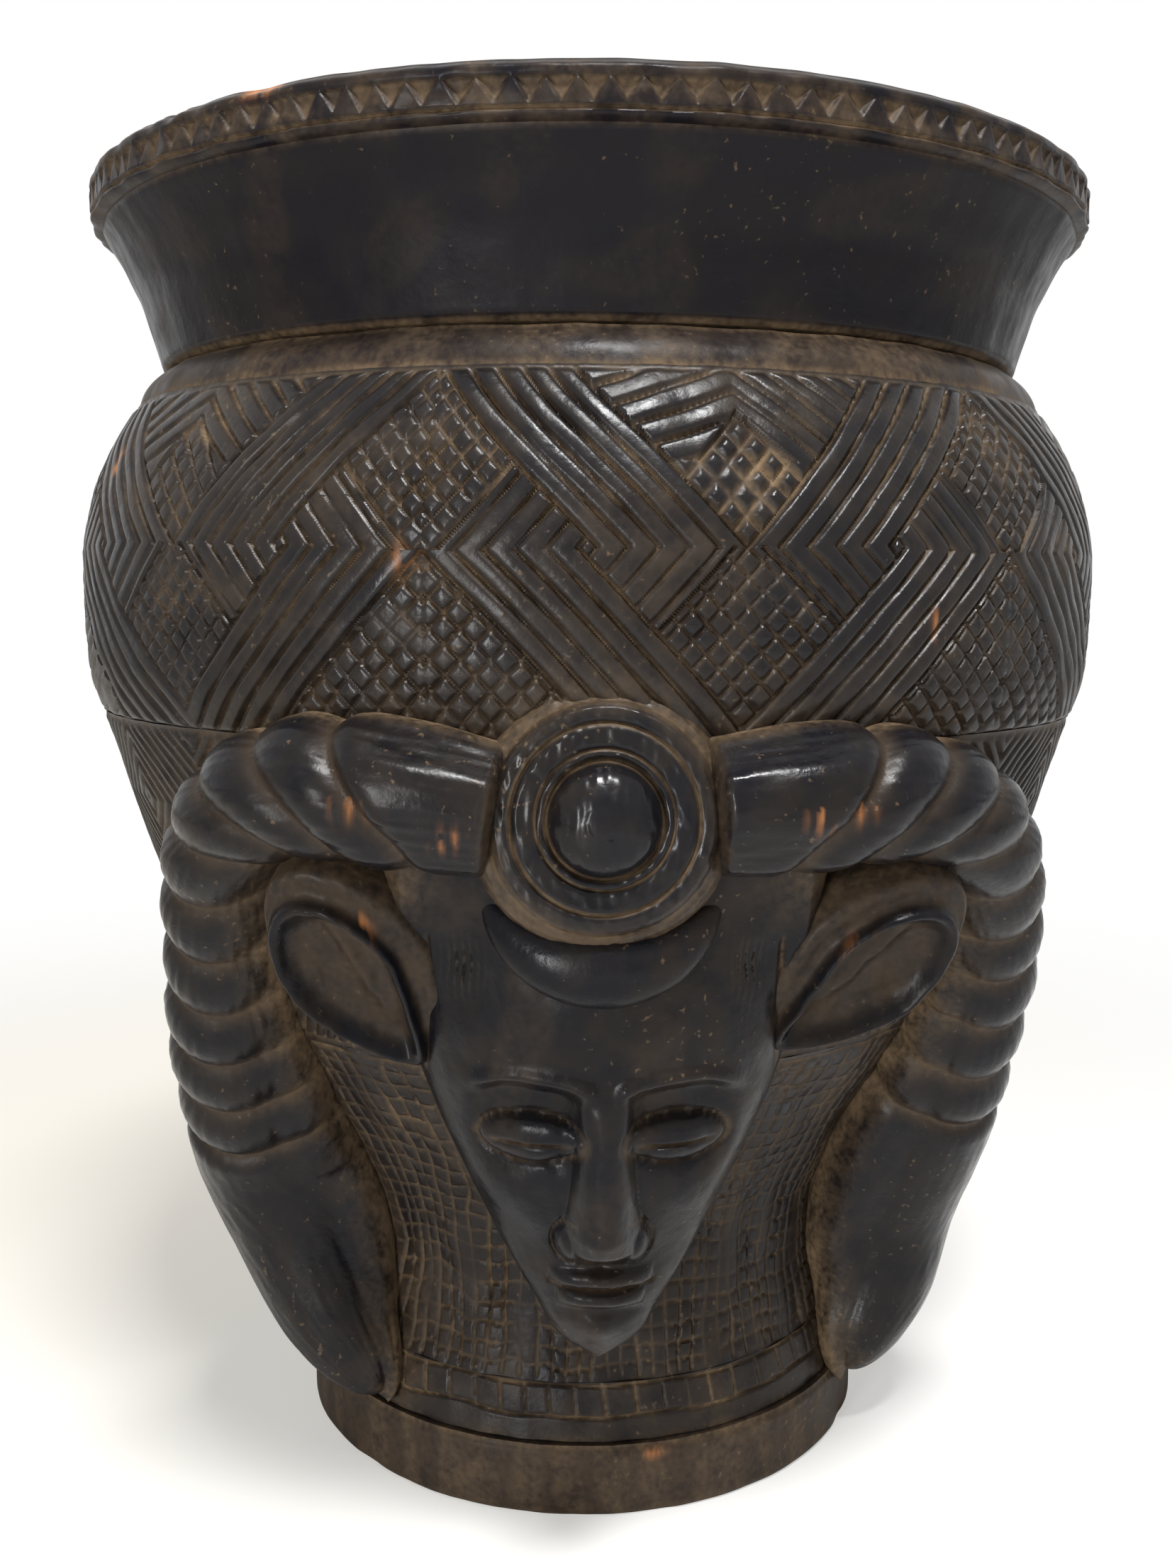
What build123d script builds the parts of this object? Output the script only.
# Carved wooden drinking cup with a ram-horned head in high relief on its front.
# The whole cup is cut from one block of wood. Each node below is one carved zone of that
# block, divided where the carver's own lines divide it, and the zones meet face to face.
# Frame: Z up, Z = 0 on the table, the Z axis is the axis of the cup, the face looks along -Y.
from build123d import *
from math import cos, radians, sin
import os

os.makedirs("parts", exist_ok=True)

# Driving dimensions of the carved zones, in millimetres, stacked from the table upwards
foot_height = 10.0
ladder_height = 7.6
lattice_height = 48.4
lower_band_height = 42.0
belly_band_height = 41.6
shoulder_ring_height = 5.0
neck_height = 19.0
rim_height = 6.4

# Driving dimensions of the outer line: radii, and how far it steps in or out from them
foot_radius = 43.0
foot_edge_round = 1.2
ankle_inset = 1.6
waist_radius = 37.6
waist_rise = 21.0
flank_radius = 62.0
flank_drop = 28.0
belly_radius = 73.6
belly_rise = 18.0
belly_foot_inset = 2.2
shoulder_inset = 8.0
neck_inset = 3.8
flare_outset = 8.0
rim_outset = 1.1
rim_edge_round = 1.6

# Driving dimensions of the hollow
wall_thickness = 6.5
lip_thickness = 5.5
floor_rise = 7.0
floor_radius = 24.0

# Driving dimensions of the wall's carving: the turns in degrees of the points from which the
# straps of the belly band rise in pairs, the width of a strap and of the corner where it bends,
# measured level, and the net of grooves between the lozenges of the lower band
carving_depth = 0.8
carving_border = 1.2
strap_turns = [11.5, 72.0, 133.0, 194.0, 255.0, 316.0]
strap_line_rise = 21.8
strap_half_repeat = 37.7
strap_width = 17.7
strap_corner_reach = 36.0
lozenge_count = 12
lozenge_half_height = 16.8
lozenge_rise = 31.5
lozenge_groove_width = 2.0
lozenge_end_turn = 80.0

# Driving dimensions of the medallion between the horns: a ringed plate with a domed boss.
# Every height of the relief is a drop below the lower edge of the belly band.
medallion_offset = -1.0
medallion_drop = 8.5
medallion_radius = 12.0
medallion_rise = 7.0
medallion_bevel = 1.4
medallion_root_depth = 13.0
medallion_nod = 5.0
ring_count = 3
ring_pitch = 1.6
ring_width = 0.8
ring_depth = 0.6
boss_radius = 5.7
boss_rise = 4.6

# Driving dimensions of the head: drops, half widths and how far it stands off the wall
crown_drop = 14.0
crown_half_width = 20.0
crown_rise = 5.4
temple_drop = 28.0
temple_half_width = 24.0
brow_drop = 38.0
brow_half_width = 22.5
brow_rise = 15.0
cheek_drop = 52.0
cheek_half_width = 17.0
jaw_drop = 66.0
jaw_half_width = 10.0
chin_drop = 77.0
chin_half_width = 3.6
chin_rise = 21.5
cheek_roundness = 0.72
head_root_depth = 18.0
jaw_slope = 28.0
crescent_drop = 10.2
crescent_outer_radius = 17.8
crescent_inner_radius = 14.8
crescent_shift = 1.5
crescent_end_drop = 20.0
crescent_rise = 1.9
crescent_root_depth = 14.0
crescent_edge_round = 1.4

# Driving dimensions of the face
nose_bridge_drop = 43.0
nose_bridge_width = 3.6
nose_bridge_rise = 1.4
nose_middle_drop = 52.0
nose_middle_width = 5.8
nose_middle_rise = 4.0
nose_base_drop = 60.5
nose_base_width = 9.6
nose_base_rise = 5.6
eye_drop = 45.5
eye_spacing = 16.5
eye_length = 10.0
eye_width = 5.4
eye_rise = 1.5
eye_slit_width = 0.8
eye_slit_depth = 0.9
eye_slit_shift = 0.7
brow_line_drop = 40.0
brow_line_length = 13.0
brow_line_width = 1.6
brow_line_arch = 2.6
brow_line_rise = 1.1
brow_line_depth = 8.0
mouth_drop = 66.0
mouth_width = 12.0
lip_height = 2.2
lip_rise = 1.6
lip_spacing = 1.4

# Driving dimensions of the ears: place of the middle, outline, slant and turn in degrees
left_ear_place = 26.6
right_ear_place = 28.0
ear_drop = 31.0
ear_rise = 9.4
ear_length = 27.0
ear_width = 14.0
ear_slant = 50.0
ear_turn = 10.0
ear_edge = 1.9
ear_hollow = 3.0
ear_depth = 16.0
ear_back_inset = 3.5
ear_edge_round = 0.8

# Driving dimensions of the horns, from root to tip: turns from the face in degrees, drops,
# half thicknesses, and how far the middle of the horn stands off the wall
left_horn_turns = [11.5, 18.5, 25.5, 32.5, 39.0, 43.5, 47.5, 52.5, 58.5, 64.0, 62.5, 57.0, 50.0, 44.0]
left_horn_drops = [6.8, 5.4, 5.0, 6.8, 11.8, 19.0, 28.5, 40.0, 52.0, 63.5, 74.0, 83.0, 90.0, 94.4]
left_horn_halves = [7.6, 8.6, 8.5, 8.1, 7.4, 7.1, 7.4, 8.6, 9.8, 10.8, 10.3, 8.4, 5.6, 2.2]
left_horn_rises = [3.0, 3.3, 3.2, 3.1, 2.9, 2.8, 3.2, 5.2, 7.8, 9.4, 9.0, 7.2, 4.6, 1.8]
right_horn_turns = [11.0, 17.5, 24.5, 31.5, 39.5, 45.5, 51.5, 56.5, 60.5, 65.5, 70.0, 73.0, 70.5, 65.5, 62.0]
right_horn_drops = [6.5, 5.8, 5.6, 7.0, 11.2, 17.2, 25.0, 34.5, 44.5, 55.0, 66.0, 76.5, 86.5, 92.8, 95.4]
right_horn_halves = [7.8, 8.6, 8.2, 7.9, 7.2, 6.9, 6.8, 7.2, 8.0, 9.4, 10.3, 10.2, 8.6, 5.0, 2.3]
right_horn_rises = [3.0, 3.3, 3.2, 3.1, 3.0, 2.8, 3.0, 4.6, 7.0, 9.4, 10.6, 9.8, 7.6, 5.4, 3.8]
horn_rib_count = 14
horn_rib_share = 0.68
horn_rib_depth = 0.8
horn_rib_crest = 0.45
horn_tip_sections = 7

# Heights and radii that follow from the driving dimensions
ladder_top = foot_height + ladder_height
lattice_top = ladder_top + lattice_height
belly_low = lattice_top + lower_band_height
shoulder_low = belly_low + belly_band_height
neck_low = shoulder_low + shoulder_ring_height
rim_low = neck_low + neck_height
cup_height = rim_low + rim_height
floor_height = foot_height + floor_rise
waist_height = foot_height + waist_rise
flank_height = belly_low - flank_drop
belly_height = belly_low + belly_rise
ankle_radius = foot_radius - ankle_inset
shoulder_radius = belly_radius - shoulder_inset
neck_radius = shoulder_radius - neck_inset
flare_radius = neck_radius + flare_outset
rim_radius = flare_radius + rim_outset
inner_belly = belly_radius - wall_thickness
inner_neck = neck_radius - wall_thickness
mouth_radius = rim_radius - lip_thickness

# Outer wall line, from the top of the foot up to the shoulder, as radius against height
with BuildLine() as wall_line:
    Spline(
        (ankle_radius, foot_height),
        (waist_radius, waist_height),
        (flank_radius, flank_height),
        (belly_radius - belly_foot_inset, belly_low),
        (belly_radius, belly_height),
        tangents=[(-0.2, 1), (0, 1)],
    )
    Spline(
        (belly_radius, belly_height),
        (shoulder_radius, shoulder_low),
        tangents=[(0, 1), (-0.75, 1)],
    )


def wall_radius(height):
    """Outer radius of the cup at a height between the foot and the shoulder."""
    edges = wall_line.edges().sort_by(Axis.Y)
    edge = edges[0] if height <= belly_height else edges[-1]
    low, high = 0.0, 1.0
    for _ in range(40):
        middle = (low + high) / 2
        if (edge @ middle).Y < height:
            low = middle
        else:
            high = middle
    return (edge @ low).X


def off_wall(turn, height, rise):
    """Point standing off the wall by rise, where turn 0 is the front and +X is to the right."""
    radius = wall_radius(height) + rise
    return Vector(radius * sin(radians(turn)), -radius * cos(radians(turn)), height)


# Core: the block as shaped outside, before it is hollowed, used to seat the relief on the wall
with BuildPart() as core:
    with BuildSketch(Plane.XZ):
        with BuildLine():
            add(wall_line.line)
            Polyline(
                (shoulder_radius, shoulder_low),
                (0, shoulder_low),
                (0, foot_height),
                (ankle_radius, foot_height),
            )
        make_face()
    revolve(axis=Axis.Z)

# Vessel: the full section with its hollow, cut into zones below
with BuildPart() as vessel:
    with BuildSketch(Plane.XZ):
        with BuildLine():
            Polyline(
                (0, 0),
                (foot_radius, 0),
                (foot_radius, foot_height),
                (ankle_radius, foot_height),
            )
            add(wall_line.line)
            Line((shoulder_radius, shoulder_low), (neck_radius, neck_low))
            Spline(
                (neck_radius, neck_low),
                (flare_radius, rim_low),
                tangents=[(0.25, 1), (0.75, 1)],
            )
            Polyline(
                (flare_radius, rim_low),
                (rim_radius, rim_low),
                (rim_radius, cup_height),
                (mouth_radius, cup_height),
            )
            Spline(
                (mouth_radius, cup_height),
                (inner_neck, neck_low),
                tangents=[(-0.5, -1), (-0.1, -1)],
            )
            Spline(
                (inner_neck, neck_low),
                (inner_belly, belly_height),
                (flank_radius - wall_thickness, flank_height),
                (waist_radius - wall_thickness, waist_height),
                (floor_radius, floor_height),
                tangents=[(0.7, -1), (-1, -0.6)],
            )
            Polyline((floor_radius, floor_height), (0, floor_height), (0, 0))
        make_face()
    revolve(axis=Axis.Z)

# Foot: the plain ring that the cup stands on, with the solid bottom of the block
with BuildPart() as foot:
    add(vessel.part)
    split(bisect_by=Plane.XY.offset(foot_height), keep=Keep.BOTTOM)
    fillet(foot.edges().filter_by(GeomType.CIRCLE).group_by(Axis.Z)[0], foot_edge_round)
foot.part.label = "foot"

# Ladder border: the narrow carved border just above the foot
with BuildPart() as ladder_border:
    add(vessel.part)
    split(bisect_by=Plane.XY.offset(foot_height), keep=Keep.TOP)
    split(bisect_by=Plane.XY.offset(ladder_top), keep=Keep.BOTTOM)
ladder_border.part.label = "ladder_border"

# Lattice wall: the waisted wall behind the face, carved with a square lattice
with BuildPart() as lattice_wall:
    add(vessel.part)
    split(bisect_by=Plane.XY.offset(ladder_top), keep=Keep.TOP)
    split(bisect_by=Plane.XY.offset(lattice_top), keep=Keep.BOTTOM)
lattice_wall.part.label = "lattice_wall"

skin_reach = belly_radius + wall_thickness


def wall_skin(low, high):
    """The outermost layer of the wall between two heights, as deep as the carving."""
    with BuildPart() as skin:
        with BuildSketch(Plane.XZ):
            with BuildLine():
                add(wall_line.line.moved(Location((-carving_depth, 0, 0))))
                Polyline(
                    (shoulder_radius - carving_depth, shoulder_low),
                    (skin_reach, shoulder_low),
                    (skin_reach, foot_height),
                    (ankle_radius - carving_depth, foot_height),
                )
            make_face()
        revolve(axis=Axis.Z)
        split(bisect_by=Plane.XY.offset(low), keep=Keep.TOP)
        split(bisect_by=Plane.XY.offset(high), keep=Keep.BOTTOM)
    return skin.part


def outward_plane(turn, height):
    """Upright plane through the axis that faces outwards at a turn."""
    lean = radians(turn)
    return Plane(
        origin=(0, 0, height),
        x_dir=(cos(lean), sin(lean), 0),
        z_dir=(sin(lean), -cos(lean), 0),
    )


# Net: the grooves that part the lozenges round the sides and back of the lower band
lozenge_pitch = 360 / lozenge_count
lozenge_middle = lattice_top + lozenge_rise
net_height = (lattice_top + belly_low) / 2
net_shift = lozenge_pitch / 2 * (lozenge_middle - net_height) / lozenge_half_height
with BuildPart() as net:
    for line in range(lozenge_count):
        for lean in (1, -1):
            turn = lozenge_pitch * (line + 0.5) + lean * net_shift
            if lozenge_end_turn <= turn <= 360 - lozenge_end_turn:
                with BuildSketch(outward_plane(turn, net_height)):
                    Rectangle(lozenge_groove_width, 2 * lower_band_height, rotation=45 * lean)
                extrude(amount=skin_reach)
    add(
        wall_skin(lattice_top + carving_border, belly_low - carving_border),
        mode=Mode.INTERSECT,
    )

# Lower band: the widening wall behind the horns, carved with lozenges
with BuildPart() as lower_band:
    add(vessel.part)
    split(bisect_by=Plane.XY.offset(lattice_top), keep=Keep.TOP)
    split(bisect_by=Plane.XY.offset(belly_low), keep=Keep.BOTTOM)
    add(net.part, mode=Mode.SUBTRACT)
lower_band.part.label = "lower_band"


def strap_outline(half_width, way, rise):
    """Corners of one strap and the corner where it bends, from the point it starts at."""
    share = half_width / strap_half_repeat
    corner_along = (strap_corner_reach + strap_width) / 2
    corner_up = (strap_corner_reach - strap_width) / 2
    corners = [
        (0, 0),
        (strap_corner_reach, 0),
        (corner_along, corner_up),
        (belly_band_height / 2 + strap_width, belly_band_height / 2),
        (belly_band_height / 2, belly_band_height / 2),
    ]
    return [(way * (share * along - half_width / 2), rise * up) for along, up in corners]


# Ground: what is cut away between the straps of the belly band, above its middle line from the
# points in strap_turns and below it from the points half way between them
strap_line = belly_low + strap_line_rise
with BuildPart() as strap_ground:
    add(wall_skin(belly_low + carving_border, shoulder_low - carving_border))
    for first, following in zip(strap_turns, [*strap_turns[1:], strap_turns[0] + 360]):
        half_turn = (following - first) / 2
        half_width = radians(half_turn) * belly_radius
        for turn, way, rise in (
            (first + half_turn / 2, 1, 1),
            (following - half_turn / 2, -1, 1),
            (first + half_turn / 2, -1, -1),
            (following - half_turn / 2, 1, -1),
        ):
            with BuildSketch(outward_plane(turn, strap_line)):
                Polygon(*strap_outline(half_width, way, rise), align=None)
            extrude(amount=skin_reach, mode=Mode.SUBTRACT)

# Belly band: the widest part of the wall, which carries the straps of the interlace
with BuildPart() as belly_band:
    add(vessel.part)
    split(bisect_by=Plane.XY.offset(belly_low), keep=Keep.TOP)
    split(bisect_by=Plane.XY.offset(shoulder_low), keep=Keep.BOTTOM)
    add(strap_ground.part, mode=Mode.SUBTRACT)
belly_band.part.label = "belly_band"

# Shoulder ring: the smooth ring between the interlace and the neck
with BuildPart() as shoulder_ring:
    add(vessel.part)
    split(bisect_by=Plane.XY.offset(shoulder_low), keep=Keep.TOP)
    split(bisect_by=Plane.XY.offset(neck_low), keep=Keep.BOTTOM)
shoulder_ring.part.label = "shoulder_ring"

# Neck: the plain flaring collar
with BuildPart() as neck:
    add(vessel.part)
    split(bisect_by=Plane.XY.offset(neck_low), keep=Keep.TOP)
    split(bisect_by=Plane.XY.offset(rim_low), keep=Keep.BOTTOM)
neck.part.label = "neck"

# Rim: the upright band that carries the row of teeth, with its rounded lip
with BuildPart() as rim:
    add(vessel.part)
    split(bisect_by=Plane.XY.offset(rim_low), keep=Keep.TOP)
    fillet(rim.edges().filter_by(GeomType.CIRCLE).group_by(Axis.Z)[-1], rim_edge_round)
rim.part.label = "rim"

# Medallion: a bevelled plate with ring grooves, which nods a little forward
medallion_height = belly_low - medallion_drop
medallion_plane = Plane(
    origin=(medallion_offset, -wall_radius(medallion_height) - medallion_rise, medallion_height),
    x_dir=(1, 0, 0),
    z_dir=(0, -cos(radians(medallion_nod)), -sin(radians(medallion_nod))),
)
with BuildPart() as medallion:
    with BuildSketch(medallion_plane):
        Circle(medallion_radius)
    extrude(amount=-medallion_root_depth)
    chamfer(medallion.edges().sort_by(Axis.Y)[0], medallion_bevel)
    with BuildSketch(medallion_plane):
        for ring in range(ring_count):
            outer = boss_radius + (ring + 1) * ring_pitch
            Circle(outer)
            Circle(outer - ring_width, mode=Mode.SUBTRACT)
    extrude(amount=-ring_depth, mode=Mode.SUBTRACT)
    add(core.part, mode=Mode.SUBTRACT)
medallion.part.label = "medallion"

# Boss: the polished dome in the middle of the medallion
dome_radius = (boss_radius**2 + boss_rise**2) / (2 * boss_rise)
with BuildPart(medallion_plane.offset(boss_rise - dome_radius)) as boss:
    Sphere(dome_radius)
    split(bisect_by=medallion_plane, keep=Keep.TOP)
boss.part.label = "boss"

# Head: a tapering shield of rounded sections that stands off the wall, cut under the jaw
chin_height = belly_low - chin_drop
brow_height = belly_low - brow_drop
crown_height = belly_low - crown_drop
stand_off = {
    chin_height: wall_radius(chin_height) + chin_rise,
    brow_height: wall_radius(brow_height) + brow_rise,
    crown_height: wall_radius(crown_height) + crown_rise,
}


def face_front(height):
    """Distance of the front of the head from the axis, straight from chin to brow to crown."""
    low, high = (chin_height, brow_height) if height < brow_height else (brow_height, crown_height)
    share = (height - low) / (high - low)
    return stand_off[low] + (stand_off[high] - stand_off[low]) * share


head_outline = [
    (chin_drop, chin_half_width),
    (jaw_drop, jaw_half_width),
    (cheek_drop, cheek_half_width),
    (brow_drop, brow_half_width),
    (temple_drop, temple_half_width),
    (crown_drop, crown_half_width),
]
head_root = waist_radius - head_root_depth
with BuildPart() as head:
    for drop, half_width in head_outline:
        height = belly_low - drop
        cheek_depth = half_width * cheek_roundness
        side = face_front(height) - cheek_depth
        with BuildSketch(Plane.XY.offset(height)):
            with BuildLine():
                EllipticalCenterArc(
                    (0, -side), half_width, cheek_depth, start_angle=180, arc_size=180
                )
                Polyline(
                    (half_width, -side),
                    (half_width, -head_root),
                    (-half_width, -head_root),
                    (-half_width, -side),
                )
            make_face()
    loft()
    split(
        bisect_by=Plane(
            origin=(0, -face_front(chin_height), chin_height),
            x_dir=(1, 0, 0),
            z_dir=(0, -sin(radians(jaw_slope)), cos(radians(jaw_slope))),
        ),
        keep=Keep.TOP,
    )
    add(core.part, mode=Mode.SUBTRACT)
    add(medallion.part, mode=Mode.SUBTRACT)
    add(boss.part, mode=Mode.SUBTRACT)
head.part.label = "head"

# Crescent: the roll on the forehead that cups the medallion from below
crescent_height = belly_low - crescent_drop
forehead_slope = (stand_off[crown_height] - stand_off[brow_height]) / (crown_height - brow_height)
forehead_plane = Plane(
    origin=(medallion_offset, -face_front(crescent_height) - crescent_rise, crescent_height),
    x_dir=(1, 0, 0),
    z_dir=(0, -1, -forehead_slope),
)
with BuildPart() as crescent:
    with BuildSketch(forehead_plane):
        Circle(crescent_outer_radius)
        with Locations((0, crescent_shift)):
            Circle(crescent_inner_radius, mode=Mode.SUBTRACT)
        with Locations((0, crescent_drop - crescent_end_drop)):
            Rectangle(
                crescent_outer_radius * 2,
                crescent_outer_radius * 2,
                align=(Align.CENTER, Align.MIN),
                mode=Mode.SUBTRACT,
            )
    extrude(amount=-crescent_root_depth)
    fillet(crescent.faces().sort_by(Axis.Y)[0].edges(), crescent_edge_round)
    add(core.part, mode=Mode.SUBTRACT)
    add(head.part, mode=Mode.SUBTRACT)
    add(medallion.part, mode=Mode.SUBTRACT)
crescent.part.label = "crescent"

# Face: nose, lids, brow lines and lips are set on the sloping plane of the face
face_slope = (stand_off[brow_height] - stand_off[chin_height]) / (brow_height - chin_height)


def face_plane(across, drop):
    """Plane of the face at a place, across from the middle and down from the belly band."""
    height = belly_low - drop
    return Plane(
        origin=(across, -face_front(height), height),
        x_dir=(1, 0, 0),
        z_dir=(0, -1, -face_slope),
    )


nose_sections = [
    (nose_base_drop, nose_base_width, nose_base_rise),
    (nose_middle_drop, nose_middle_width, nose_middle_rise),
    (nose_bridge_drop, nose_bridge_width, nose_bridge_rise),
]
with BuildPart() as nose:
    for drop, width, rise in nose_sections:
        height = belly_low - drop
        with BuildSketch(Plane.XY.offset(height)):
            with BuildLine():
                root = face_front(height) - nose_base_rise
                EllipticalCenterArc(
                    (0, -root), width / 2, nose_base_rise + rise, start_angle=180, arc_size=180
                )
                Line((-width / 2, -root), (width / 2, -root))
            make_face()
    loft()
    add(head.part, mode=Mode.SUBTRACT)
nose.part.label = "nose"


def make_eye(side):
    """Closed lid: a low almond dome with a slit a little below its middle."""
    plane = face_plane(side * eye_spacing / 2, eye_drop).offset(-eye_rise)
    with BuildPart() as dome:
        Sphere(1)
        scale(by=(eye_length / 2, eye_width / 2, eye_rise * 2))
    with BuildPart() as eye:
        add(plane.location * dome.part)
        with BuildSketch(plane.offset(eye_rise * 2 - eye_slit_depth)):
            with Locations((0, -eye_slit_shift)):
                SlotOverall(eye_length, eye_slit_width)
        extrude(amount=eye_rise, mode=Mode.SUBTRACT)
        add(head.part, mode=Mode.SUBTRACT)
        add(nose.part, mode=Mode.SUBTRACT)
    return eye.part


def make_brow(side):
    """Brow line: a thin raised arch above the lid."""
    inner = (side * (eye_spacing - brow_line_length) / 2, -brow_line_arch)
    outer = (side * (eye_spacing + brow_line_length) / 2, -brow_line_arch)
    top = (side * eye_spacing / 2, 0)
    under = (side * eye_spacing / 2, -brow_line_width)
    with BuildPart() as brow:
        with BuildSketch(face_plane(0, brow_line_drop).offset(brow_line_rise)):
            with BuildLine():
                ThreePointArc(inner, top, outer)
                ThreePointArc(outer, under, inner)
            make_face()
        extrude(amount=-brow_line_depth)
        add(head.part, mode=Mode.SUBTRACT)
        add(nose.part, mode=Mode.SUBTRACT)
    return brow.part


left_eye = make_eye(-1)
left_eye.label = "left_eye"
right_eye = make_eye(1)
right_eye.label = "right_eye"
left_brow = make_brow(-1)
left_brow.label = "left_brow"
right_brow = make_brow(1)
right_brow.label = "right_brow"

# Mouth: two soft lips that meet on a straight line
with BuildPart() as lip:
    Sphere(1)
    scale(by=(mouth_width / 2, lip_height / 2, lip_rise * 2))
with BuildPart() as mouth:
    for shift in (lip_spacing / 2, -lip_spacing / 2):
        place = face_plane(0, mouth_drop + shift).offset(-lip_rise)
        add(place.location * lip.part)
    add(head.part, mode=Mode.SUBTRACT)
mouth.part.label = "mouth"


def make_ear(side, ear_place):
    """Leaf-shaped ear with a raised edge and a hollow, carved back to the wall."""
    middle = off_wall(side * ear_place, belly_low - ear_drop, ear_rise)
    slant = radians(ear_slant)
    turn = radians(ear_turn)
    plane = Plane(
        origin=middle,
        x_dir=(side * cos(slant) * cos(turn), cos(slant) * sin(turn), sin(slant)),
        z_dir=(side * sin(turn), -cos(turn), 0),
    )
    with BuildPart() as ear:
        for depth, inset in ((0, ear_edge_round), (ear_edge_round, 0), (ear_depth, ear_back_inset)):
            with BuildSketch(plane.offset(-depth)):
                Ellipse(ear_length / 2 - inset, ear_width / 2 - inset)
        loft(ruled=True)
        for depth, inset in ((0, ear_edge), (ear_hollow, ear_edge * 2)):
            with BuildSketch(plane.offset(-depth)):
                Ellipse(ear_length / 2 - inset, ear_width / 2 - inset)
        loft(ruled=True, mode=Mode.SUBTRACT)
        add(core.part, mode=Mode.SUBTRACT)
        add(head.part, mode=Mode.SUBTRACT)
    return ear.part


left_ear = make_ear(-1, left_ear_place)
left_ear.label = "left_ear"
right_ear = make_ear(1, right_ear_place)
right_ear.label = "right_ear"


def horn_course(side, turns, drops, halves, rises):
    """Middle line of a horn, and its half thickness as a function of the share of its length."""
    points = [
        off_wall(side * turn, belly_low - drop, rise)
        for turn, drop, rise in zip(turns, drops, rises)
    ]
    course = Spline(*points, mode=Mode.PRIVATE)
    steps = [(end - start).length for start, end in zip(points, points[1:])]
    shares = [sum(steps[:count]) / sum(steps) for count in range(len(points))]

    def half_thickness(share):
        index = 0
        while index < len(steps) - 1 and share > shares[index + 1]:
            index += 1
        part = (share - shares[index]) / (shares[index + 1] - shares[index])
        return halves[index] + (halves[index + 1] - halves[index]) * part

    return course, half_thickness


def horn_section(course, share):
    """Plane square to the course of a horn, with its X direction away from the cup's axis."""
    place = course @ share
    return Plane(origin=place, x_dir=(place.X, place.Y, 0), z_dir=course % share)


def make_horn(course, half_thickness, others):
    """Ribbed upper horn and smooth lower tip, seated on the wall and on what lies beside them."""
    rib = horn_rib_share / horn_rib_count
    with BuildPart() as ribbed:
        for index in range(horn_rib_count):
            for step, cut in ((0, horn_rib_depth), (horn_rib_crest, 0)):
                share = (index + step) * rib
                with BuildSketch(horn_section(course, share)):
                    Circle(half_thickness(share) - cut)
        with BuildSketch(horn_section(course, horn_rib_share)):
            Circle(half_thickness(horn_rib_share) - horn_rib_depth)
        loft(ruled=True)
        for other in others:
            add(other, mode=Mode.SUBTRACT)
    with BuildPart() as tip:
        for index in range(horn_tip_sections):
            along = index / (horn_tip_sections - 1)
            share = horn_rib_share + (1 - horn_rib_share) * along
            with BuildSketch(horn_section(course, share)):
                Circle(half_thickness(share) - horn_rib_depth * (1 - along))
        loft()
        for other in others:
            add(other, mode=Mode.SUBTRACT)
    return ribbed.part, tip.part


beside_left = [core.part, foot.part, head.part, medallion.part, left_ear]
beside_right = [core.part, foot.part, head.part, medallion.part, right_ear]
left_course = horn_course(
    -1, left_horn_turns, left_horn_drops, left_horn_halves, left_horn_rises
)
right_course = horn_course(
    1, right_horn_turns, right_horn_drops, right_horn_halves, right_horn_rises
)
left_horn, left_horn_tip = make_horn(*left_course, beside_left)
right_horn, right_horn_tip = make_horn(*right_course, beside_right)
left_horn.label = "left_horn"
left_horn_tip.label = "left_horn_tip"
right_horn.label = "right_horn"
right_horn_tip.label = "right_horn_tip"

export_step(foot.part, "parts/foot.step")
export_step(ladder_border.part, "parts/ladder_border.step")
export_step(lattice_wall.part, "parts/lattice_wall.step")
export_step(lower_band.part, "parts/lower_band.step")
export_step(belly_band.part, "parts/belly_band.step")
export_step(shoulder_ring.part, "parts/shoulder_ring.step")
export_step(neck.part, "parts/neck.step")
export_step(rim.part, "parts/rim.step")
export_step(medallion.part, "parts/medallion.step")
export_step(boss.part, "parts/boss.step")
export_step(head.part, "parts/head.step")
export_step(crescent.part, "parts/crescent.step")
export_step(nose.part, "parts/nose.step")
export_step(left_eye, "parts/left_eye.step")
export_step(right_eye, "parts/right_eye.step")
export_step(left_brow, "parts/left_brow.step")
export_step(right_brow, "parts/right_brow.step")
export_step(mouth.part, "parts/mouth.step")
export_step(left_ear, "parts/left_ear.step")
export_step(right_ear, "parts/right_ear.step")
export_step(left_horn, "parts/left_horn.step")
export_step(left_horn_tip, "parts/left_horn_tip.step")
export_step(right_horn, "parts/right_horn.step")
export_step(right_horn_tip, "parts/right_horn_tip.step")
